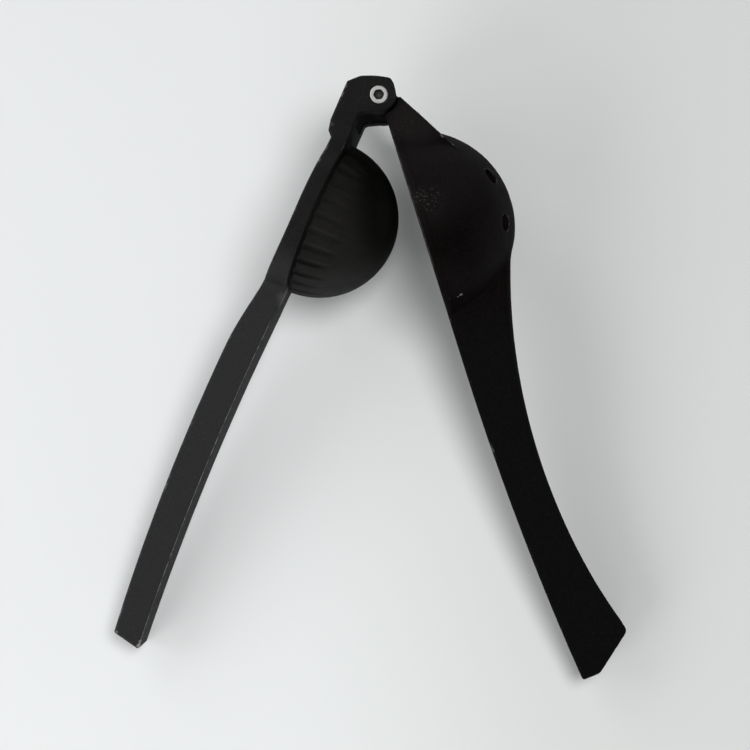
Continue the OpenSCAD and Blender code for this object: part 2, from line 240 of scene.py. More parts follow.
bowlHandle = {
    "length": 216.2,
    "waistAt": 135.4,
    "waistThickness": 15.8,
    "dip": 1.3,
    "palmBendAt": 98.0,
    "palmRise": 6.9,
    "palmEdge": 0.9,
    "palmEdgeFrom": 30.0,
    "palmEdgeRun": 20.0,
    "heelBack": 12.1,
    "tipFace": 6.6,
    "tipLean": 5.0,
    "tipCorner": 0.6,
    "corner": 1.4,
    "backEdgeRoot": 3.0,
    "backEdgeTip": 1.1,
    "backEdgeRate": 1.5,
    "backEdgeDelay": 0.2,
    "fillet": 1.2,
}


def handleSide(x, z, length):
    # distance outside the tapered side faces of a handle
    rootX = bowl["reach"] + bowlOuter
    slope = (handles["tipWidth"] - handles["rootWidth"]) / 2 / (length - rootX)
    return (np.abs(z) - handles["rootWidth"] / 2 - slope * (x - rootX)) * math.cos(math.atan(slope))


def fromBowl(x, y, z):
    # distance from the centre of the bowl's ball
    return np.sqrt((x - bowl["reach"]) ** 2 + (y + bowl["drop"]) ** 2 + z * z)


def holeDistance(x, y, z):
    # distance from the nearest juice hole: one is in the middle and the others form a ring
    far = 10.0
    px, py = x - bowl["reach"], y + bowl["drop"]
    nearest = np.full(x.shape, far)
    ring = [(bowl["holeLean"], 360 * i / bowl["holeCount"]) for i in range(bowl["holeCount"])]
    for leanBy, turn in [(0.0, 0.0)] + ring:
        a, b = math.radians(leanBy), math.radians(turn)
        s = px * math.sin(a) * math.cos(b) + py * math.cos(a) - z * math.sin(a) * math.sin(b)
        bore = np.sqrt(np.maximum(px * px + py * py + z * z - s * s, 0)) - bowl["holeDiameter"] / 2
        nearest = np.minimum(nearest, np.where(s > 0, bore, far))
    return nearest


def armShape(x, y, z):
    # the arm, whose back touches a circle under the bowl's skin; and how far a place lies past its end
    cx, cy = bowl["reach"], -bowl["drop"]
    touch = bowlOuter - arm["dip"]
    slope = math.asin((touch - arm["back"]) / math.hypot(cx, cy)) - math.atan2(bowl["drop"], cx)
    along, left = alongBearing(slope, x, y)
    lean = math.radians(arm["neckSlope"])
    flank = np.abs(z) - arm["width"] / 2
    shoulder = (flank + arm["neckStep"] + arm["neckAt"] - x) * math.sqrt(0.5)
    neckFlank = (flank + arm["neckStep"] + (arm["neckAt"] - x) * math.tan(lean)) * math.cos(lean)
    flank = roundMeet(flank, roundJoin(shoulder, neckFlank, arm["neckRound"]), arm["neckRound"])
    fromHinge = np.hypot(x, y)
    wide = roundMeet(flank, hinge["earRadius"] + arm["swingGap"] - fromHinge, arm["swingRound"])
    sides = roundJoin(np.abs(z) - hinge["knuckleWidth"] / 2, wide, arm["swingFillet"])
    edge = between(arm["edgeAtHinge"], arm["edge"], (fromHinge - arm["edgeFrom"]) / arm["edgeRun"])
    body = np.maximum(roundMeet(left - arm["back"], sides, edge), -along)
    pastEnd, _ = alongBearing(slope, x - cx, y - cy)
    return np.maximum(body, pastEnd), pastEnd


def bowlHandleShape(x, y, z):
    # the handle, with a hollow back and a hooked tip; and how far a place lies past its root
    h = bowlHandle
    cx, cy = bowl["reach"], -bowl["drop"]
    touch = bowlOuter - h["dip"]
    run, rise = h["waistAt"] - cx, h["waistThickness"] + bowl["drop"]
    backR = (run * run + rise * rise - touch * touch) / (2 * (touch - rise))
    backY = h["waistThickness"] + backR
    back = backR - np.hypot(x - h["waistAt"], y - backY)
    along = np.clip((x - cx) / (h["length"] - cx), 0, 1)
    backEdge = between(h["backEdgeRoot"], h["backEdgeTip"], along * h["backEdgeRate"] - h["backEdgeDelay"])
    lean = math.radians(h["tipLean"])
    tipX, tipY = h["length"], h["palmRise"]
    tipFace, _ = alongBearing(lean, x - tipX, y - tipY)
    hookEnd = (tipX - math.sin(lean) * h["tipFace"], tipY + math.cos(lean) * h["tipFace"])
    heelX = h["length"] - h["heelBack"]
    heel = (heelX, backY - math.sqrt(backR ** 2 - (heelX - h["waistAt"]) ** 2))
    hook = -planeThrough(x, y, hookEnd, heel)
    section = roundMeet(roundMeet(tipFace, hook, h["tipCorner"]), back, h["corner"])
    body = roundMeet(section, handleSide(x, z, h["length"]), backEdge)
    _, pastRoot = alongBearing(math.atan2(backY - cy, h["waistAt"] - cx), x - cx, y - cy)
    return np.maximum(body, pastRoot), pastRoot


def seamShare(past):
    # a fillet fades away where the joined piece ends inside the bowl
    return np.clip(-past / bowl["seamRun"], 0.02, 1)


def bowlLeverShape(x, y, z):
    h = bowlHandle
    cx = bowl["reach"]
    fromCentre = fromBowl(x, y, z)
    rimSide = np.hypot(x - cx, z) - bowlOuter - bowl["rimStep"]
    rim = roundMeet(rimSide, y - bowl["rimHeight"], bowl["rimStepRound"])
    solid = roundJoin(fromCentre - bowlOuter, rim, bowl["rimFillet"])
    armBody, pastEnd = armShape(x, y, z)
    solid = roundJoin(solid, armBody, arm["fillet"] * seamShare(pastEnd))
    handle, pastRoot = bowlHandleShape(x, y, z)
    solid = roundJoin(solid, handle, h["fillet"] * seamShare(pastRoot))
    # everything ends at the rim plane, which bends away under the handle
    palmR = arcRadius(h["length"] - h["palmBendAt"], h["palmRise"])
    palm = np.where(x < h["palmBendAt"], -y, np.hypot(x - h["palmBendAt"], y - palmR) - palmR)
    palmEdge = between(bowl["rimRound"], h["palmEdge"], (x - cx - h["palmEdgeFrom"]) / h["palmEdgeRun"])
    solid = roundMeet(solid, palm, palmEdge)
    solid = roundCut(solid, fromCentre - bowl["innerRadius"], bowl["lipRound"])
    fromHinge = np.hypot(x, y)
    knuckleSide = np.abs(z) - hinge["knuckleWidth"] / 2
    knuckle = roundMeet(fromHinge - hinge["knuckleRadius"], knuckleSide, hinge["knuckleRound"])
    solid = np.minimum(solid, knuckle)
    solid = roundCut(solid, fromHinge - hinge["boreDiameter"] / 2, hinge["boreRound"])
    return roundCut(solid, holeDistance(x, y, z), bowl["holeLip"])


plunger = {
    "length": 211.2,
    "faceGap": 3.6,
    "headBack": 11.9,
    "headLength": 18.2,
    "headRamp": 3.8,
    "headDrop": 0.8,
    "headStep": 1.8,
    "headCut": 3.4,
    "headNose": 7.0,
    "headNoseAt": 170.0,
    "headBulge": 0.4,
    "headEdge": 0.9,
    "overlap": 1.0,
    "earFrom": 12.0,
    "earTo": 130.0,
    "earToe": 2.4,
    "slotLength": 12.5,
    "blockFrom": 14.0,
    "ringLedge": 1.95,
    "ringThickness": 5.7,
    "crownAt": 128.0,
    "crownThickness": 11.2,
    "crownGap": 4.7,
    "innerRise": 3.5,
    "outerRise": 4.3,
    "innerLead": 11.0,
    "easeRun": 24.0,
    "backLean": 0.985,
    "tipRake": 2.1,
    "tipInnerRound": 0.9,
    "tipOuterRound": 0.6,
    "edge": 0.8,
    "sharpEdge": 0.01,
    "innerEdge": 0.5,
    "boreEdge": 0.15,
    "seatEdge": 0.35,
    "fillet": 3.0,
}
headRounds = {"step": 1.2, "toe": 2.0, "ear": 0.5, "nose": 0.8, "back": 1.5, "ramp": 2.0, "drop": 0.9}

dome = {
    "radius": 28.25,
    "drop": 1.1,
    "wall": 2.8,
    "footHeight": 0.8,
    "footIn": 1.6,
    "ribCount": 30,
    "ribDepth": 0.9,
    "ribHeight": 13.0,
    "grooveWidth": 1.9,
    "grooveDepth": 0.75,
    "softness": 1.1,
    "baseRound": 0.45,
    "stepsPerRib": 14,
    "hollowSteps": 40,
    "roundSteps": 6,
    "crownSteps": 90,
}
cupRadius = dome["radius"] - dome["ribDepth"] - dome["wall"]
cupEdge = math.sqrt(cupRadius ** 2 - dome["drop"] ** 2)
ringRadius = dome["radius"] + plunger["ringLedge"]
ringBackY = -plunger["faceGap"] - plunger["ringThickness"]

screws = {
    "count": 3,
    "diameter": 3.0,
    "length": 9.0,
    "bevel": 0.35,
    "headDiameter": 5.5,
    "headHeight": 2.6,
    "headRound": 0.3,
    "socketWidth": 2.5,
    "lugThickness": 3.0,
    "lugEdge": 0.4,
    "lugOverlap": 1.5,
    "lugPlay": 0.1,
    "lugBoreEdge": 0.15,
    "bossRadius": 3.4,
    "bossSink": 0.4,
    "bossPlay": 0.03,
    "bossSpare": 0.3,
    "bossRoof": 1.5,
}
screwRing = cupEdge - screws["bossRadius"] + screws["bossSink"]
screwTurns = [math.radians(360 * (i + 0.5) / screws["count"]) for i in range(screws["count"])]


def bulged(a, b, height, steps=6):
    # points from a almost to b along a curve that bulges to the right
    dx, dy = b[0] - a[0], b[1] - a[1]
    n = math.hypot(dx, dy)
    out = []
    for i in range(steps):
        t = i / steps
        h = 4 * height * t * (1 - t) / n
        out.append((a[0] + t * dx + h * dy, a[1] + t * dy - h * dx))
    return out


def headOutline():
    # the head with its two ears, seen along the hinge
    p, rounds = plunger, headRounds
    headEnd = bowl["reach"] - math.sqrt(ringRadius ** 2 - headWidth ** 2 / 4) + p["overlap"]
    ear = [onCircle(hinge["earRadius"], a) for a in np.linspace(p["earFrom"], p["earTo"], 12)]
    nose = onCircle(p["headNose"], p["headNoseAt"])
    cut = (-p["headCut"], p["headCut"] - p["headBack"])
    corners = [
        (p["headLength"] + p["headStep"], ringBackY, rounds["step"]),
        (headEnd, ringBackY, 0),
        (headEnd, -p["faceGap"], 0),
        (hinge["earRadius"] + p["earToe"], -p["faceGap"], rounds["toe"]),
        (*ear[0], rounds["ear"]),
    ]
    corners += [(*point, 0) for point in ear[1:-1] + bulged(ear[-1], nose, p["headBulge"])]
    corners += [(*nose, rounds["nose"])]
    corners += [(*point, 0) for point in bulged(nose, cut, p["headBulge"])[1:]]
    corners += [
        (*cut, rounds["back"]),
        (0, -p["headBack"], rounds["back"]),
        (p["headLength"] - p["headRamp"], -p["headBack"], rounds["ramp"]),
        (p["headLength"], p["headDrop"] - p["headBack"], rounds["drop"]),
    ]
    return filletedOutline(corners)


def plungerFaceY(x):
    # height of the face: level on the ring, then a ramp down to the handle's hollow arc
    p = plunger
    ringFar = bowl["reach"] + ringRadius
    innerAt = ringFar + p["innerLead"]
    innerR = arcRadius(p["length"] - p["crownAt"], p["innerRise"])
    rootY = arcHeight(innerAt, p["crownAt"], innerR) - p["crownGap"]
    down = np.clip((x - ringFar + p["overlap"]) / (innerAt - ringFar + p["overlap"]), 0, 1)
    ramp = -p["faceGap"] * (1 - down) + rootY * down
    return np.where(x < innerAt, ramp, arcHeight(x, p["crownAt"], innerR) - p["crownGap"])


def lugShape(x, y, z, turn):
    # a lug for one of the dome's screws, behind the face
    p = screws
    out, left = alongBearing(turn, x - bowl["reach"], -z)
    fromScrew = np.hypot(out - screwRing, left)
    stem = np.maximum(np.abs(left) - p["bossRadius"], screwRing - out)
    stem = np.maximum(stem, out - cupEdge - p["lugOverlap"])
    lug = np.minimum(fromScrew - p["bossRadius"], stem)
    middleY = -plunger["faceGap"] - p["lugThickness"] / 2
    lug = roundMeet(lug, np.abs(y - middleY) - p["lugThickness"] / 2, p["lugEdge"])
    return roundCut(lug, fromScrew - p["diameter"] / 2 - p["lugPlay"], p["lugBoreEdge"])


def plungerLeverShape(x, y, z):
    p = plunger
    cx = bowl["reach"]
    head = roundMeet(outlineDistance(headShape, x, y), np.abs(z) - headWidth / 2, p["headEdge"])
    # plate: ring and handle share one plan, one face and one back
    disc = np.hypot(x - cx, z) - ringRadius
    handle = np.maximum(handleSide(x, z, p["length"]), cx - x)
    block = np.maximum(np.maximum(np.abs(z) - headWidth / 2, p["blockFrom"] - x), x - cx)
    plan = roundJoin(roundJoin(disc, handle, p["fillet"]), block, p["fillet"])
    outerX = p["length"] - p["tipRake"]
    outerR = arcRadius(outerX - p["crownAt"], p["outerRise"])

    def outerY(at):
        return arcHeight(at, p["crownAt"], outerR) - p["crownGap"] - p["crownThickness"]

    t = ease((x - cx) / (ringRadius + p["easeRun"]))
    backY = ringBackY * (1 - t) + outerY(x) * t
    face = y - plungerFaceY(x)  # the slopes are small, so heights stand for distances
    back = (backY - y) * p["backLean"]
    tipInner = (p["length"], float(plungerFaceY(np.array(p["length"]))))
    tip = -planeThrough(x, y, (outerX, outerY(outerX)), tipInner)
    inner, outer = roundMeet(face, tip, p["tipInnerRound"]), roundMeet(back, tip, p["tipOuterRound"])
    plate = roundMeet(plan, roundMeet(inner, outer, p["sharpEdge"]), p["edge"])
    solid = np.minimum(plate, head)
    solid = roundCut(solid, np.hypot(x - cx, z) - cupEdge, p["innerEdge"])
    slot = np.maximum(np.abs(z) - slotWidth / 2, x - p["slotLength"])
    solid = roundCut(solid, slot, p["innerEdge"])
    fromHinge = np.hypot(x, y)
    solid = roundCut(solid, fromHinge - hinge["boreDiameter"] / 2, p["boreEdge"])
    seat = np.maximum(fromHinge - hinge["headDiameter"] / 2 - hinge["headPlay"], pinSeat - np.abs(z))
    solid = roundCut(solid, seat, p["seatEdge"])
    for turn in screwTurns:
        solid = np.minimum(solid, lugShape(x, y, z, turn))
    return solid


headShape = headOutline()

# Where the thin light lines, the painted highlight on the juice holes' lips and the painted sheen on the
# handles go, in each lever's millimetres
linesAndSheen = {
    "lineReach": 3.0,
    "lineDepth": 2.0,
    "lineFade": 10.0,
    "plungerLineFrom": 82.0,
    "rimLineTo": 70.0,
    "rimShare": 0.35,
    "lipHighlightShare": 0.22,
    "bowlSheenFrom": 66.0,
    "plungerSheenFrom": 55.0,
    "sheenFade": 30.0,
}


# A thin light line: how far across the rounded edge a place lies, and how much the line shows
def plungerEdgeLine(x, y, z):
    below = plungerFaceY(x) - y
    across = -below - handleSide(x, z, plunger["length"])
    share = ease((x - linesAndSheen["plungerLineFrom"]) / linesAndSheen["lineFade"]) * ease(linesAndSheen["lineDepth"] - below)
    return across, share


def bowlLineAndLipHighlight(x, y, z):
    across = -y - (np.hypot(x - bowl["reach"], z) - bowlOuter - bowl["rimStep"])
    share = linesAndSheen["rimShare"] * ease((linesAndSheen["rimLineTo"] - x) / linesAndSheen["lineFade"]) * ease(linesAndSheen["lineDepth"] - y)
    # the outer lips of the juice holes get a thin painted highlight
    lip = holeDistance(x, y, z) - 0.5 * bowl["holeLip"]
    atLip = np.abs(lip) < 1
    lipHighlight = linesAndSheen["lipHighlightShare"] * (fromBowl(x, y, z) > bowlOuter - 1)
    return np.where(atLip, lip, across), np.where(atLip, lipHighlight, share)


def addObject(name, data):
    item = bpy.data.objects.new(name, data)
    scene.collection.objects.link(item)
    return item


def plainMesh(holder):
    # what the holder's modifier makes, as a mesh of its own; the holder goes
    view = bpy.context.evaluated_depsgraph_get()
    mesh = bpy.data.meshes.new_from_object(holder.evaluated_get(view))
    source = holder.data
    holder.modifiers.clear()
    bpy.data.objects.remove(holder)
    bpy.data.meshes.remove(source)
    return mesh


def plainFrom(name, edited):
    # an edited mesh as plain data; the edited one goes
    data = bpy.data.meshes.new(name)
    edited.to_mesh(data)
    edited.free()
    return data


def weldedMesh(mesh, apart):
    welded = bmesh.new()
    welded.from_mesh(mesh)
    bmesh.ops.remove_doubles(welded, verts=welded.verts, dist=apart)
    return welded


def faceOutwards(mesh):
    bmesh.ops.recalc_face_normals(mesh, faces=mesh.faces)


# How a lever is cast onto its rounded shape
cast = {
    "weld": 0.0001,
    "bowlVoxel": 0.62,
    "plungerVoxel": 0.5,
    "rounds": 4,
    "relax": 0.6,
    "longestStep": 0.6,
    "leastSlope": 0.15,
    "normalStep": 0.06,
    "bendStep": 0.5,
    "bendReach": 2.0,
    "sideFrom": 0.7,
    "sideRun": 0.6,
}


def voxelCopy(node, placed, size):
    # an even quad mesh of a CAD node, in its lever's own millimetres
    copied = nodes[node].data.copy()
    copied.transform((placed @ mmScale).inverted())
    holder = addObject("voxelHolder", plainFrom("voxelMesh", weldedMesh(copied, cast["weld"])))
    bpy.data.meshes.remove(copied)
    remesh = holder.modifiers.new("Voxels", "REMESH")
    remesh.mode = "VOXEL"
    remesh.voxel_size = size
    remesh.use_smooth_shade = True
    return plainMesh(holder)


def gradientOf(shape, p, h=0.02):
    x, y, z = p[:, 0], p[:, 1], p[:, 2]
    return np.stack([
        shape(x + h, y, z) - shape(x - h, y, z),
        shape(x, y + h, z) - shape(x, y - h, z),
        shape(x, y, z + h) - shape(x, y, z - h)], axis=1) / (2 * h)


def pulledOnto(shape, p, times):
    for _ in range(times):
        f = shape(p[:, 0], p[:, 1], p[:, 2])
        g = gradientOf(shape, p)
        step = g * (f / np.maximum((g * g).sum(axis=1), cast["leastSlope"]))[:, None]
        length = np.linalg.norm(step, axis=1)[:, None]
        p = p - step * np.minimum(1, cast["longestStep"] / np.maximum(length, 1e-9))
    return p


def readNumbers(items, name, width, kind=float):
    numbers = np.empty(len(items) * width, kind)
    items.foreach_get(name, numbers)
    return numbers.reshape(-1, width)


def castOnto(mesh, shape):
    # relaxes the mesh and pulls it onto the rounded shape; gives its normals and how sharply it bends
    p = readNumbers(mesh.vertices, "co", 3)
    edges = readNumbers(mesh.edges, "vertices", 2, int)
    neighbours = np.bincount(edges.ravel(), minlength=len(p))[:, None]
    p = pulledOnto(shape, p, 2)
    for _ in range(cast["rounds"]):
        total = np.zeros_like(p)
        np.add.at(total, edges[:, 0], p[edges[:, 1]])
        np.add.at(total, edges[:, 1], p[edges[:, 0]])
        p = p + cast["relax"] * (total / np.maximum(neighbours, 1) - p)
        p = pulledOnto(shape, p, 1)
    p = pulledOnto(shape, p, 3)
    normals = gradientOf(shape, p, cast["normalStep"])
    normals /= np.maximum(np.linalg.norm(normals, axis=1), 1e-9)[:, None]
    x, y, z = p[:, 0], p[:, 1], p[:, 2]
    h = cast["bendStep"]
    bend = (shape(x + h, y, z) + shape(x - h, y, z) + shape(x, y + h, z) + shape(x, y - h, z)
            + shape(x, y, z + h) + shape(x, y, z - h) - 6 * shape(x, y, z)) / (h * h)
    mesh.vertices.foreach_set("co", p.ravel())
    mesh.update()
    return normals, bend, p


def keepNumbers(mesh, **kept):
    for name, numbers in kept.items():
        numbers = np.asarray(numbers, np.float32)
        mesh.attributes.new(name, "FLOAT", "POINT").data.foreach_set("value", numbers)


def markSides(mesh, normals):
    # how far each place turns away from the hinge line; those faces stay as rough as they were cast
    along = np.abs(normals @ np.array(laid.to_3x3().col[2]))
    side = ease((cast["sideFrom"] - along) / cast["sideRun"])
    keepNumbers(mesh, side=side)
    return side


def smoothFaces(mesh):
    for face in mesh.polygons:
        face.use_smooth = True


def placePiece(name, mesh, node, body):
    mesh.name = name
    piece = addObject(name, mesh)
    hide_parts(node)
    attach(piece, body)
    print(name, "made:", len(mesh.polygons), "faces")


def castPiece(name, node, body, placed, shape, wearAndSheen, sheenFrom, size, material):
    mesh = voxelCopy(node, placed, size)
    mesh.materials.clear()
    mesh.materials.append(material)
    normals, bend, p = castOnto(mesh, shape)
    smoothFaces(mesh)
    across, share = wearAndSheen(p[:, 0], p[:, 1], p[:, 2])
    across = np.clip(across, -linesAndSheen["lineReach"], linesAndSheen["lineReach"])
    mesh.transform(placed @ mmScale)
    normals = normals @ np.array(placed.to_3x3()).T
    # painted sheen: the flat faces grow lighter towards the handle's end
    handled = ease((p[:, 0] - sheenFrom) / linesAndSheen["sheenFade"]) * (1 - markSides(mesh, normals))
    bend = np.clip(bend, -cast["bendReach"], cast["bendReach"])
    keepNumbers(mesh, edge=bend, lineAcross=across, lineShare=share, handled=handled)
    mesh.normals_split_custom_set_from_vertices(normals.tolist())
    placePiece(name, mesh, node, body)


# Shader and geometry trees
def feed(tree, node, inputs):
    # each input takes a number, a colour or a link
    for key, value in inputs.items():
        if isinstance(value, bpy.types.NodeSocket):
            tree.links.new(value, node.inputs[key])
        else:
            node.inputs[key].default_value = value


def addNode(tree, kind, inputs=None, **settings):
    node = tree.nodes.new(kind)
    for key, value in settings.items():
        setattr(node, key, value)
    feed(tree, node, inputs or {})
    return node


def newMaterial(name):
    material = bpy.data.materials.new(name)
    material.use_nodes = True
    tree = material.node_tree
    place = addNode(tree, "ShaderNodeTexCoord").outputs["Object"]
    return material, tree, tree.nodes["Principled BSDF"], place


def noiseOf(tree, place, scale, detail=3.0, roughness=0.5, distortion=0.0):
    inputs = {"Vector": place, "Scale": scale, "Detail": detail, "Roughness": roughness}
    return addNode(tree, "ShaderNodeTexNoise", {**inputs, "Distortion": distortion}).outputs["Fac"]


def mapped(tree, value, fromLow, fromHigh, toLow, toHigh, smooth=False):
    inputs = {"Value": value, "From Min": fromLow, "From Max": fromHigh, "To Min": toLow, "To Max": toHigh}
    kind = "SMOOTHSTEP" if smooth else "LINEAR"
    return addNode(tree, "ShaderNodeMapRange", inputs, clamp=True, interpolation_type=kind).outputs["Result"]


def mathOf(tree, operation, *values):
    return addNode(tree, "ShaderNodeMath", dict(enumerate(values)), operation=operation).outputs[0]


def sumsIn(tree):
    # one tree's own plus, minus, times, over and greater of two
    return [partial(mathOf, tree, kind) for kind in ("ADD", "SUBTRACT", "MULTIPLY", "DIVIDE", "MAXIMUM")]


def mixColours(tree, factor, a, b):
    a, b = ((*colour, 1) if isinstance(colour, tuple) else colour for colour in (a, b))
    return addNode(tree, "ShaderNodeMix", {"Factor": factor, 6: a, 7: b}, data_type="RGBA").outputs[2]


def keptNumber(tree, name):
    return addNode(tree, "ShaderNodeAttribute", attribute_name=name).outputs["Fac"]


def bumpOf(tree, height, strength, distance):
    inputs = {"Height": height, "Strength": strength, "Distance": distance}
    return addNode(tree, "ShaderNodeBump", inputs).outputs["Normal"]


# Noises are (scale, detail, roughness, distortion)
coat = {
    "wearAndSheen": (0.30, 0.292, 0.28),
    "peel": (900.0, 2.0, 0.5),
    "grain": (2600.0, 2.0, 0.6),
    "cloud": (55.0, 4.0, 0.6),
    "smear": (210.0, 5.0, 0.65, 0.6),
    "breakUp": (420.0, 5.0, 0.7),
    "patches": (70.0, 3.0, 0.6),
    "chipRim": (1500.0, 3.0, 0.6),
    "chipRagged": 0.8,
    "chipFade": 1.3,
    "ballCore": 0.3,
    "speckRun": 0.14,
    "peelDepth": 0.00009,
    "peelStrength": 0.8,
    "grainShare": 0.35,
    "markHeightShare": 0.5,
    "edgeWear": 0.4,
    "edgeBends": (0.35, 1.3),
    "wearBetween": (0.66, 0.76),
    "roughBetween": (0.46, 0.58),
    "castRoughness": 0.24,
    "lineAt": -0.1,
    "lineHalf": 0.26,
    "lineCore": 0.3,
    "lineBreaks": (0.40, 0.62),
    "lineBetween": (0.12, 0.75),
    "cloudBetween": (0.35, 0.7),
    "grainBetween": (0.5, 0.75),
    "smearBetween": (0.3, 0.75),
}

# What sets each coat apart: its black, where it is dusty, its painted sheen, its gloss and its pale flecks.
# All three are one powder coat; the plunger lever's black is painted lighter than the bowl lever's and the
# dome's, as painted light
bowlLook = {
    "black": (0.0022, 0.0015, 0.0015),
    "dusty": (0.0042, 0.0030, 0.0030),
    "handled": (0.0036, 0.0033, 0.0033),
    "gloss": 0.03,
    "flecks": 0.02,
}
plungerLook = {
    "black": (0.0064, 0.0060, 0.0060),
    "dusty": (0.0106, 0.0100, 0.0099),
    "handled": (0.0210, 0.0212, 0.0224),
    "gloss": 0.16,
    "flecks": 0.05,
}
domeLook = {
    "black": (0.0026, 0.0025, 0.0021),
    "dusty": (0.0050, 0.0047, 0.0041),
    "handled": (0.0050, 0.0048, 0.0044),
    "gloss": 0.20,
    "flecks": 0.02,
}

# Chips are (x, y, z, radius, strength) in their lever's millimetres
bowlChips = [
    (74.5, 6.4, 18.9, 0.75, 0.45),
    (74.9, 5.2, 18.9, 0.5, 0.3),
    (24.3, 19.0, 17.3, 0.8, 0.25),
    (17.5, 0.9, 17.2, 0.9, 0.3),
]
plungerChips = [
    (209.7, -1.6, 6.9, 1.1, 0.8),
    (208.2, -1.6, 7.1, 0.8, 0.6),
    (208.4, -10.7, 6.9, 0.7, 0.5),
    (15.8, -10.7, 18.0, 1.0, 0.07),
]
domeChips = [(53.0, 2.1, 26.8, 0.45, 0.15)]

# Scuffs, and broad soft patches of painted sheen, are (x, y, z, radius, turn, stretch, scale, start,
# strength)
bowlScuffsAndSheen = [
    (41.0, 6.0, 33.1, 7.5, 0.7, (0.8, 1.2, 1.0), 1500.0, 0.55, 0.12),
    (39.4, 3.0, 33.5, 3.4, 0.7, (0.7, 1.3, 1.0), 1300.0, 0.5, 0.18),
    (12.8, 5.5, 17.9, 6.5, 0.7, (0.8, 1.2, 1.0), 1200.0, 0.54, 0.06),
    # these two broad soft patches are painted sheen, on the bowl's upper side and on the arm
    (34.0, 7.0, 31.0, 24.0, 0.3, (1.0, 1.0, 1.0), 600.0, 0.1, 0.013),
    (11.6, 8.7, 18.0, 15.0, 0.3, (1.0, 1.0, 1.0), 500.0, 0.1, 0.022),
]
plungerScuffs = [(77.0, -2.0, 6.0, 6.0, 0.0, (1.0, 1.0, 1.0), 300.0, 0.15, 0.34)]
# a broad soft patch of painted sheen near the dome's base
domePaintedSheen = [(45.5, -0.6, 28.0, 21.0, 0.3, (1.0, 1.0, 1.0), 500.0, 0.1, 0.020)]


def awayFrom(tree, place, lever, x, y, z):
    at = lever @ Vector((x, y, z)) * mm
    return addNode(tree, "ShaderNodeVectorMath", {0: place, 1: at}, operation="DISTANCE").outputs["Value"]


def chipMask(tree, place, lever, x, y, z, radius, strength):
    # a solid chip with a ragged rim
    radius *= mm
    ragged = mathOf(tree, "MULTIPLY", noiseOf(tree, place, *coat["chipRim"]), radius * coat["chipRagged"])
    away = mathOf(tree, "ADD", awayFrom(tree, place, lever, x, y, z), ragged)
    return mapped(tree, away, radius, radius * coat["chipFade"], strength, 0.0, True)


def scuffAndSheenMask(tree, place, lever, x, y, z, radius, turn, stretch, scale, start, strength):
    # fine specks inside a soft ball
    radius *= mm
    away = awayFrom(tree, place, lever, x, y, z)
    ball = mapped(tree, away, radius * coat["ballCore"], radius, 1.0, 0.0, True)
    inputs = {"Vector": place, "Rotation": (0.0, 0.0, turn), "Scale": stretch}
    turned = addNode(tree, "ShaderNodeMapping", inputs).outputs["Vector"]
    specks = noiseOf(tree, turned, scale, 3.0, 0.6)
    specks = mapped(tree, specks, start, start + coat["speckRun"], 0.0, strength, True)
    return mathOf(tree, "MULTIPLY", ball, specks)


def powderCoat(name, look, lever, scuffsAndSheen, chips):
    material, tree, shader, place = newMaterial(name)
    plus, minus, times, _, greater = sumsIn(tree)
    peel, grain, cloud, smear, breakUp, patches = (noiseOf(tree, place, *coat[noise]) for noise in (
        "peel", "grain", "cloud", "smear", "breakUp", "patches"))
    edge, across, share, handled, side = (keptNumber(tree, number) for number in (
        "edge", "lineAcross", "lineShare", "handled", "side"))
    # wear, broken along edges that stand out, and a thin light line beside a rounded edge, which on the
    # juice holes' lips is a painted highlight
    chance = plus(times(breakUp, 0.6), times(patches, 0.55))
    chance = mapped(tree, chance, *coat["wearBetween"], 0, 1, True)
    edge = mapped(tree, edge, *coat["edgeBends"], 0.0, coat["edgeWear"], True)
    offLine = mathOf(tree, "ABSOLUTE", minus(across, coat["lineAt"]))
    line = mapped(tree, offLine, coat["lineCore"] * coat["lineHalf"], coat["lineHalf"], 1.0, 0.0, True)
    line = times(line, mapped(tree, breakUp, *coat["lineBreaks"], *coat["lineBetween"]))
    wearAndSheen = greater(times(edge, chance), times(line, share))
    # then scuffs and broad patches of painted sheen, and chips
    for scuffAndSheen in scuffsAndSheen:
        wearAndSheen = greater(wearAndSheen, scuffAndSheenMask(tree, place, lever, *scuffAndSheen))
    for chip in chips:
        wearAndSheen = greater(wearAndSheen, chipMask(tree, place, lever, *chip))
    base = mixColours(tree, mapped(tree, cloud, *coat["cloudBetween"], 0, 1), look["black"], look["dusty"])
    # painted sheen on the handles
    base = mixColours(tree, handled, base, look["handled"])
    flecks = mapped(tree, grain, *coat["grainBetween"], 0.0, look["flecks"])
    flecked = mixColours(tree, flecks, base, coat["wearAndSheen"])
    smeared = mapped(tree, smear, *coat["smearBetween"], *coat["roughBetween"])
    height = minus(plus(peel, times(grain, coat["grainShare"])), times(wearAndSheen, coat["markHeightShare"]))
    feed(tree, shader, {
        "Base Color": mixColours(tree, wearAndSheen, flecked, coat["wearAndSheen"]),
        "Roughness": plus(smeared, times(side, coat["castRoughness"])),
        "Specular IOR Level": look["gloss"],
        "Normal": bumpOf(tree, height, coat["peelStrength"], coat["peelDepth"])})
    return material


steelLook = {"bright": (0.86, 0.86, 0.84), "dull": (0.74, 0.74, 0.71), "metallic": 0.55}
zincLook = {"bright": (0.52, 0.52, 0.51), "dull": (0.38, 0.38, 0.37), "metallic": 1.0}
turnedLook = {
    "fine": (2500.0, 3.0, 0.6),
    "broad": (300.0, 3.0, 0.6),
    "socketShade": (0.012, 0.012, 0.010),
    "noiseBetween": (0.3, 0.7),
    "roughBetween": (0.34, 0.46),
    "socketShadeRoughness": 0.25,
    "grooveStrength": 0.3,
    "grooveDepth": 0.00002,
}
nylonLook = {
    "pale": (0.62, 0.58, 0.49),
    "dark": (0.54, 0.50, 0.42),
    "grain": (1800.0, 3.0, 0.6),
    "grainBetween": (0.3, 0.7),
    "roughness": 0.5,
}


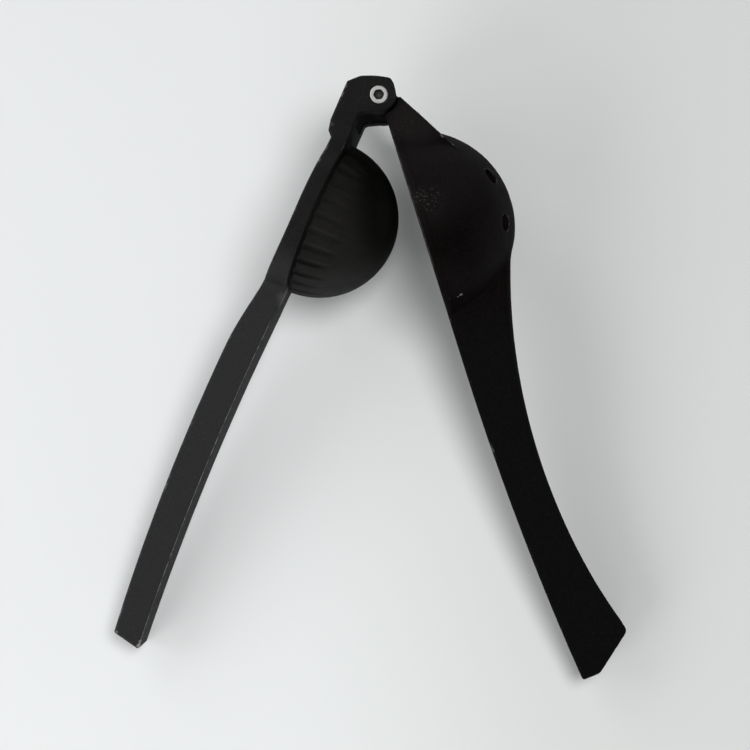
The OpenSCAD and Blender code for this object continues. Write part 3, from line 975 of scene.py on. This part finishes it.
def turnedSteel(name, look):
    material, tree, shader, place = newMaterial(name)
    plus, _, times, _, _ = sumsIn(tree)
    fine = noiseOf(tree, place, *turnedLook["fine"])
    broad = noiseOf(tree, place, *turnedLook["broad"])
    socketShade = keptNumber(tree, "socketShade")
    dulled = mapped(tree, broad, *turnedLook["noiseBetween"], 0, 1)
    metal = mixColours(tree, dulled, look["bright"], look["dull"])
    smooth = mapped(tree, fine, *turnedLook["noiseBetween"], *turnedLook["roughBetween"])
    feed(tree, shader, {
        # painted shade inside the socket
        "Base Color": mixColours(tree, socketShade, metal, turnedLook["socketShade"]),
        "Metallic": look["metallic"],
        "Roughness": plus(smooth, times(socketShade, turnedLook["socketShadeRoughness"])),
        "Normal": bumpOf(tree, fine, turnedLook["grooveStrength"], turnedLook["grooveDepth"])})
    return material


def paleNylon(name, look):
    material, tree, shader, place = newMaterial(name)
    grain = mapped(tree, noiseOf(tree, place, *look["grain"]), *look["grainBetween"], 0, 1)
    feed(tree, shader, {
        "Base Color": mixColours(tree, grain, look["pale"], look["dark"]),
        "Roughness": look["roughness"]})
    return material


bowlCoat = powderCoat("bowlLeverCoat", bowlLook, bowlFrame, bowlScuffsAndSheen, bowlChips)
plungerCoat = powderCoat("plungerLeverCoat", plungerLook, plungerFrame, plungerScuffs, plungerChips)
domeCoat = powderCoat("domeCoat", domeLook, plungerFrame, domePaintedSheen, domeChips)
steel = turnedSteel("hingeSteel", steelLook)
zinc = turnedSteel("screwZinc", zincLook)
nylon = paleNylon("washerNylon", nylonLook)
print("materials made")

bowlSide, plungerSide = "bowl_side", "plunger_side"
castPiece("bowlLever", "bowl_lever", bowlSide, bowlFrame, bowlLeverShape, bowlLineAndLipHighlight,
          linesAndSheen["bowlSheenFrom"], cast["bowlVoxel"], bowlCoat)
castPiece("plungerLever", "plunger_lever", plungerSide, plungerFrame, plungerLeverShape, plungerEdgeLine,
          linesAndSheen["plungerSheenFrom"], cast["plungerVoxel"], plungerCoat)


def ringOf(radius, height, steps, flats=False):
    # points round a circle, or at the same bearings round a hexagon of twice the radius across flats
    out = []
    for k in range(steps):
        a = 2 * math.pi * k / steps
        r = radius / math.cos((a % (math.pi / 3)) - math.pi / 6) if flats else radius
        out.append((r * math.cos(a), r * math.sin(a), height))
    return out


def addRing(mesh, points, last=None):
    # a ring of points, joined to the last one by faces; a ring of one point closes a cap
    ring = [mesh.verts.new(point) for point in points]
    if last:
        steps = max(len(last), len(ring))
        for k in range(steps):
            m = (k + 1) % steps
            face = [last[k % len(last)], last[m % len(last)], ring[m % len(ring)], ring[k % len(ring)]]
            face = list(dict.fromkeys(face))
            if len(face) > 2:
                mesh.faces.new(face)
    return ring


def turnedPiece(profile, steps=48):
    # a profile of (radius, height) swept round +Z; gives its first and last rings too
    mesh = bmesh.new()
    rings = []
    for r, h in profile:
        points = ringOf(r, h, steps) if r > 0 else [(0, 0, h)]
        rings.append(addRing(mesh, points, rings[-1] if rings else None))
    return mesh, rings[0], rings[-1]


# A hexagon socket: its countersunk mouth and drilled bottom, and the painted shade in it
socket = {
    "mouthShare": 0.58,
    "mouthDepth": 0.18,
    "drillShare": 0.16,
    "socketShade": 1.0,
    "drillShade": 0.8,
}


def socketScrew(profile, top, width, depth, steps=48):
    # profile runs from the shank's end up to the rim of the socket at height top; steps is a multiple of six
    mesh, _, last = turnedPiece(profile, steps)
    last = addRing(mesh, ringOf(width * socket["mouthShare"], top, steps), last)
    for h in (top - socket["mouthDepth"], top - depth):
        last = addRing(mesh, ringOf(width / 2, h, steps, flats=True), last)
    addRing(mesh, [(0, 0, top - depth - width * socket["drillShare"])], last)
    faceOutwards(mesh)
    # painted shade darkens the socket, the drill's tip a little less
    socketShade = mesh.verts.layers.float.new("socketShade")
    inSocket = list(mesh.verts)[-2 * steps - 1:]
    for v in inSocket:
        v[socketShade] = socket["socketShade"]
    inSocket[-1][socketShade] = socket["drillShade"]
    return mesh


def finishedPiece(name, mesh, placed, material, body, slot, node, smoothAngle=35):
    if isinstance(mesh, bmesh.types.BMesh):
        mesh = plainFrom(name, mesh)
        mesh.materials.append(material)
    mesh.transform(placed @ mmScale)
    smoothFaces(mesh)
    if slot == "powder_coat":
        markSides(mesh, readNumbers(mesh.vertices, "normal", 3))
    mesh.set_sharp_from_angle(angle=math.radians(smoothAngle))
    placePiece(name, mesh, node, body)


def shankProfile(radius, low, bevel):
    return [(0.0, low), (radius - bevel, low), (radius, low + bevel), (radius, 0.0)]


def hingeScrew(shank):
    # a hinge pin's half: its shank below the seat, its head with a rounded rim above
    r, t, c = hinge["headDiameter"] / 2, hinge["headThickness"], hinge["headRound"]
    turns = [math.pi / 2 * k / 5 for k in range(5, -1, -1)]
    rim = [(r - c + c * math.sin(a), t - c + c * math.cos(a)) for a in turns]
    return socketScrew(shank + [(r, 0.0)] + rim, t, hinge["socketWidth"], hinge["socketDepth"])


def washer():
    inner, outer = hinge["pinDiameter"] / 2 + hinge["washerPlay"], hinge["washerRadius"]
    t, c = hinge["washerThickness"], hinge["washerBevel"]
    inside = [(inner + c, t), (inner, t - c), (inner, c)]
    loop = [(inner, c), (inner + c, 0), (outer - c, 0), (outer, c), (outer, t - c), (outer - c, t)] + inside
    mesh, _, _ = turnedPiece(loop, 64)
    bmesh.ops.remove_doubles(mesh, verts=mesh.verts, dist=1e-5)
    faceOutwards(mesh)
    return mesh


atSeat = movedBy(0, 0, pinSeat)
atWasher = movedBy(0, 0, slotWidth / 2 - hinge["washerThickness"])
barrelEnd = hinge["barrelShort"] - 2 * pinSeat
barrel = hingeScrew(shankProfile(hinge["pinDiameter"] / 2, barrelEnd, hinge["barrelBevel"]))
finishedPiece("hingeBarrel", barrel, plungerFrame @ atSeat, steel, plungerSide, "steel", "hinge_barrel")
farScrew = hingeScrew(shankProfile(hinge["screwDiameter"] / 2, -hinge["screwLength"], hinge["screwBevel"]))
finishedPiece("hingeScrew", farScrew, farSide @ atSeat, steel, plungerSide, "steel", "hinge_screw")
finishedPiece("nearWasher", washer(), plungerFrame @ atWasher, nylon, plungerSide, "nylon", "near_washer")
finishedPiece("farWasher", washer(), farSide @ atWasher, nylon, plungerSide, "nylon", "far_washer")


# Geometry Nodes
def groupWith(name, numbers):
    tree = bpy.data.node_groups.new(name, "GeometryNodeTree")
    tree.interface.new_socket("Geometry", in_out="INPUT", socket_type="NodeSocketGeometry")
    for label, value in numbers.items():
        kind = "NodeSocketInt" if isinstance(value, int) else "NodeSocketFloat"
        tree.interface.new_socket(label, in_out="INPUT", socket_type=kind).default_value = value
    tree.interface.new_socket("finish", in_out="INPUT", socket_type="NodeSocketMaterial")
    tree.interface.new_socket("Geometry", in_out="OUTPUT", socket_type="NodeSocketGeometry")
    return tree, addNode(tree, "NodeGroupInput").outputs


def endGroup(tree, geometry, finish):
    real = addNode(tree, "GeometryNodeRealizeInstances", {"Geometry": geometry}).outputs["Geometry"]
    paint = addNode(tree, "GeometryNodeSetMaterial", {"Geometry": real, "Material": finish})
    addNode(tree, "NodeGroupOutput", {"Geometry": paint.outputs["Geometry"]})
    return tree


def evaluatedMesh(name, mesh, treeOf, numbers, material):
    tree = treeOf(numbers)
    holder = addObject(name, mesh)
    modifier = holder.modifiers.new(tree.name, "NODES")
    modifier.node_group = tree
    settings = {**numbers, "finish": material}
    for item in tree.interface.items_tree:
        if item.in_out == "INPUT" and item.name in settings:
            modifier[item.identifier] = settings[item.name]
    return plainMesh(holder)


def pointAt(tree, radius, angle, height=0.0):
    # a place at a radius and bearing round Z
    x, y = (mathOf(tree, "MULTIPLY", radius, mathOf(tree, kind, angle)) for kind in ("COSINE", "SINE"))
    return addNode(tree, "ShaderNodeCombineXYZ", {0: x, 1: y, 2: height}).outputs[0]


def ribbedDomeTree(numbers):
    # sweeps a profile round Z and presses grooves into it, as far as each point of the profile allows
    tree, given = groupWith("ribbedDome", numbers)
    plus, minus, times, over, greater = sumsIn(tree)
    curve = given["Geometry"]
    rows = addNode(tree, "GeometryNodeAttributeDomainSize", {"Geometry": curve}).outputs["Point Count"]
    columns = plus(times(given["ribCount"], given["stepsPerRib"]), 1)
    grid = addNode(tree, "GeometryNodeMeshGrid", {"Vertices X": columns, "Vertices Y": rows}).outputs["Mesh"]
    index = addNode(tree, "GeometryNodeInputIndex").outputs[0]
    column = mathOf(tree, "FLOOR", over(plus(index, 0.5), rows))
    place = addNode(tree, "GeometryNodeSampleIndex", data_type="FLOAT_VECTOR", domain="POINT")
    feed(tree, place, {
        "Geometry": curve,
        "Value": addNode(tree, "GeometryNodeInputPosition").outputs[0],
        "Index": minus(index, times(column, rows))})
    radius, mayPress, height = addNode(tree, "ShaderNodeSeparateXYZ", {0: place.outputs[0]}).outputs
    angle = times(over(column, minus(columns, 1.0)), 2 * math.pi)
    # distance along the base from the middle of the nearest groove
    pitch = over(2 * math.pi, given["ribCount"])
    share = minus(mathOf(tree, "FRACT", over(angle, pitch)), 0.5)
    across = times(mathOf(tree, "ABSOLUTE", share), times(pitch, given["radius"]))
    half, soft = times(given["grooveWidth"], 0.5), times(given["softness"], 0.5)
    pressed = mapped(tree, across, minus(half, soft), plus(half, soft), 1.0, 0.0, True)
    # a groove runs out towards its top
    up = over(height, given["ribHeight"])
    runOut = greater(minus(1.0, times(up, up)), 0.0)
    depth = times(times(given["grooveDepth"], runOut), times(pressed, mayPress))
    put = addNode(tree, "GeometryNodeSetPosition", {
        "Geometry": grid,
        "Position": pointAt(tree, minus(radius, depth), angle, height)})
    # the groove's shoulders are kept as the place where the coat wears
    shoulder = times(times(pressed, minus(1.0, pressed)), 1.6)
    keep = addNode(tree, "GeometryNodeStoreNamedAttribute", data_type="FLOAT", domain="POINT")
    feed(tree, keep, {
        "Geometry": put.outputs["Geometry"],
        "Name": "edge",
        "Value": times(times(shoulder, runOut), mayPress)})
    weld = addNode(tree, "GeometryNodeMergeByDistance", {
        "Geometry": keep.outputs["Geometry"],
        "Distance": domeWeld})
    return endGroup(tree, weld.outputs["Geometry"], given["finish"])


def domeProfile():
    # (radius, may be pressed, height above the sphere's centre), from the hollow's pole to the tip
    points = []
    r, c, drop = dome["radius"], cupRadius, dome["drop"]
    for k in range(dome["hollowSteps"]):
        t = k / dome["hollowSteps"]
        a = math.pi / 2 * (1 - t) + math.asin(drop / c) * t
        points.append((c * math.cos(a), 0.0, c * math.sin(a)))
    foot, footEdge = drop - dome["footHeight"], r - dome["footIn"]
    points += [(cupEdge, 0.0, drop * 0.5 + foot * 0.5), (cupEdge, 0.0, foot), (footEdge, 0.0, foot),
               (footEdge, 0.0, foot + dome["footHeight"] * 0.5), (footEdge, 0.0, drop)]
    b = dome["baseRound"]
    edge = math.sqrt(r * r - drop * drop)
    for k in range(dome["roundSteps"] + 1):
        t = k / dome["roundSteps"]
        a = math.pi / 2 * (t - 1)
        points.append((edge - b + b * math.cos(a), t, drop + b + b * math.sin(a)))
    first = math.asin((drop + b) / r)
    for k in range(1, dome["crownSteps"] + 1):
        a = first + (math.pi / 2 - first) * (k / dome["crownSteps"])
        points.append((max(r * math.cos(a), 0.0), 1.0, r * math.sin(a)))
    return points


def bossMesh(centre, outer, inner, low, high, steps=40):
    # a screw boss: a tube, open at low and closed above its thread
    tube, mouth, _ = turnedPiece([(inner, low), (outer, low), (outer, high), (0.0, high)], steps)
    tube.faces.new(addRing(tube, ringOf(inner, high - screws["bossRoof"], steps), mouth))
    faceOutwards(tube)
    bmesh.ops.translate(tube, verts=tube.verts, vec=(*centre, 0))
    return plainFrom("boss", tube)


domeWeld = 0.0005
domeCurve = bpy.data.meshes.new("domeProfile")
domePoints = domeProfile()
domeCurve.from_pydata(domePoints, [(i, i + 1) for i in range(len(domePoints) - 1)], [])
treeInputs = ("ribCount", "stepsPerRib", "grooveDepth", "grooveWidth", "softness", "ribHeight", "radius")
domeNumbers = {key: dome[key] for key in treeInputs}
domeMesh = evaluatedMesh("domeHolder", domeCurve, ribbedDomeTree, domeNumbers, domeCoat)
domeShell = weldedMesh(domeMesh, domeWeld)
faceOutwards(domeShell)
footAt = dome["drop"] - dome["footHeight"]
bossTop = screws["length"] - screws["lugThickness"] + screws["bossSpare"] + screws["bossRoof"]
for turn in screwTurns:
    boss = bossMesh((screwRing * math.cos(turn), screwRing * math.sin(turn)), screws["bossRadius"],
                    screws["diameter"] / 2 + screws["bossPlay"], footAt, footAt + bossTop)
    domeShell.from_mesh(boss)
    bpy.data.meshes.remove(boss)
aboutBowl = turnAbout("X", -90)
domePlace = plungerFrame @ movedBy(bowl["reach"], -plunger["faceGap"] - footAt, 0) @ aboutBowl
finishedPiece("plungerDome", domeShell, domePlace, domeCoat, plungerSide, "powder_coat", "plunger_dome",
              smoothAngle=50)


def screwRingTree(numbers):
    # stands copies of its input on a circle, turned to face outwards
    tree, given = groupWith("screwRing", numbers)
    plus, _, times, over, _ = sumsIn(tree)
    index = addNode(tree, "GeometryNodeInputIndex").outputs[0]
    angle = over(times(plus(index, 0.5), 2 * math.pi), given["count"])
    at = pointAt(tree, given["radius"], angle)
    stand = addNode(tree, "GeometryNodeInstanceOnPoints", {
        "Points": addNode(tree, "GeometryNodePoints", {"Count": given["count"], "Position": at}).outputs[0],
        "Instance": given["Geometry"],
        "Rotation": addNode(tree, "ShaderNodeCombineXYZ", {2: angle}).outputs[0]})
    return endGroup(tree, stand.outputs["Instances"], given["finish"])


# One socket-head screw, head downwards below the lug, shank up into the boss
r, top, c = screws["headDiameter"] / 2, screws["headHeight"], screws["headRound"]
screwHead = [(r, 0.0), (r, top - c), (r - 0.3 * c, top - 0.3 * c), (r - c, top)]
screwShank = shankProfile(screws["diameter"] / 2, -screws["length"], screws["bevel"])
domeScrew = socketScrew(screwShank + screwHead, top, screws["socketWidth"], top / 2)
bmesh.ops.rotate(domeScrew, verts=domeScrew.verts, matrix=Matrix.Rotation(math.pi, 3, "X"))
screwSet = evaluatedMesh("screwHolder", plainFrom("domeScrew", domeScrew), screwRingTree,
                         {"count": screws["count"], "radius": screwRing}, zinc)
headY = -plunger["faceGap"] - screws["lugThickness"]
screwPlace = plungerFrame @ movedBy(bowl["reach"], headY, 0) @ aboutBowl
finishedPiece("domeScrews", screwSet, screwPlace, zinc, plungerSide, "steel", "dome_screws")


# Floor, light and camera
room = {
    # painted shade: the table is painted darker towards the right
    "floorLeft": (0.84, 0.855, 0.86),
    "floorRight": (0.73, 0.745, 0.735),
    "floorLeftAt": -0.02,
    "floorRightAt": 0.12,
    "floorCloud": 5.0,
    "floorCloudShare": 0.06,
    "floorRoughness": 0.6,
    "floorSize": 30.0,
    "backdrop": (0.72, 0.735, 0.735),
    "backdropFrom": 0.30,
    "backdropTo": 0.75,
    "zenith": (0.02, 0.02, 0.02),
    "zenithFrom": 0.22,
    "zenithTo": 0.5,
}

# Lamps that leave no gloss on the coat only fill the shadows
lamps = {
    "overheadLamp": {"place": (0.26, -0.08, 1.03), "size": 0.5, "energy": 6.8, "gloss": False},
    "leftLamp": {"place": (-0.91, -0.09, 0.53), "size": 0.6, "energy": 2.0, "gloss": True},
    "frontLeftLamp": {"place": (-0.64, -0.73, 0.53), "size": 0.6, "energy": 3.3, "gloss": False},
    "backLeftLamp": {"place": (-0.64, 0.55, 0.53), "size": 0.6, "energy": 1.7, "gloss": True},
    "frontLamp": {"place": (0.0, -1.0, 0.53), "size": 0.6, "energy": 1.0, "gloss": False},
}
lampTarget = (0, -0.09, 0)

floorMesh = bpy.data.meshes.new("floor")
s = room["floorSize"]
floorMesh.from_pydata([(-s, -s, 0), (s, -s, 0), (s, s, 0), (-s, s, 0)], [], [(0, 1, 2, 3)])
floorMesh.transform(Matrix.Translation((0, 0, cadBox[0].z)))
floor = addObject("floor", floorMesh)
floorPaint, tree, shader, place = newMaterial("paleTable")
plus, _, times, _, greater = sumsIn(tree)
across = addNode(tree, "ShaderNodeSeparateXYZ", {0: place}).outputs[0]
across = plus(across, times(noiseOf(tree, place, room["floorCloud"]), room["floorCloudShare"]))
# painted shade, darker towards the right
fromLeft = mapped(tree, across, room["floorLeftAt"], room["floorRightAt"], 0.0, 1.0, True)
feed(tree, shader, {
    "Base Color": mixColours(tree, fromLeft, room["floorLeft"], room["floorRight"]),
    "Roughness": room["floorRoughness"],
    "Specular IOR Level": 0.0})
# far from the object the table turns into the plain backdrop
away = addNode(tree, "ShaderNodeVectorMath", {0: place}, operation="LENGTH").outputs["Value"]
path = addNode(tree, "ShaderNodeLightPath").outputs
seen = times(greater(path["Is Camera Ray"], path["Is Glossy Ray"]),
             mapped(tree, away, room["backdropFrom"], room["backdropTo"], 0.0, 1.0, True))
glow = addNode(tree, "ShaderNodeEmission", {"Color": (*room["backdrop"], 1)}).outputs[0]
both = addNode(tree, "ShaderNodeMixShader", {0: seen, 1: shader.outputs[0], 2: glow}).outputs[0]
feed(tree, tree.nodes["Material Output"], {"Surface": both})
floorMesh.materials.append(floorPaint)

world = bpy.data.worlds.new("studio")
scene.world = world
world.use_nodes = True
tree = world.node_tree
bearing = addNode(tree, "ShaderNodeTexCoord").outputs["Generated"]
upwards = addNode(tree, "ShaderNodeSeparateXYZ", {0: bearing}).outputs[2]
toZenith = mapped(tree, upwards, room["zenithFrom"], room["zenithTo"], 0.0, 1.0, True)
feed(tree, tree.nodes["Background"], {"Color": mixColours(tree, toZenith, room["backdrop"], room["zenith"])})


def areaLamp(name, place, size, energy, gloss):
    data = bpy.data.lights.new(name, "AREA")
    data.shape = "DISK"
    data.size = size
    data.energy = energy
    lamp = addObject(name, data)
    lamp.location = place
    lamp.visible_glossy = gloss
    lamp.rotation_mode = "QUATERNION"
    lamp.rotation_quaternion = (Vector(lampTarget) - Vector(place)).to_track_quat("-Z", "Y")


for lampName, lamp in lamps.items():
    areaLamp(lampName, **lamp)

# The camera looks along the hinge axis; its frame is shifted so that the hinge lands where it should
shot = {
    "distance": 560.0,
    "focal": 1574.0,
    "frame": 750.0,
    "sensor": 36.0,
    "axisX": 460.0,
    "axisY": 355.0,
    "offset": (28.0, -89.8),
    "near": 0.01,
    "far": 30.0,
}
camera = addObject("camera", bpy.data.cameras.new("camera"))
camera.data.sensor_width = shot["sensor"]
camera.data.lens = shot["focal"] / shot["frame"] * shot["sensor"]
camera.data.shift_x = -(shot["axisX"] - shot["frame"] / 2) / shot["frame"]
camera.data.shift_y = (shot["axisY"] - shot["frame"] / 2) / shot["frame"]
camera.data.clip_start = shot["near"]
camera.data.clip_end = shot["far"]
camera.location = laid @ (Vector((*shot["offset"], shot["distance"])) * mm)
camera.rotation_mode = "QUATERNION"
camera.rotation_quaternion = laid.to_quaternion()
scene.camera = camera
scene.view_settings.view_transform = "Standard"
print("floor, lamps and camera set")

print("cad box", [tuple(round(v * 1000, 2) for v in c) for c in cadBox])
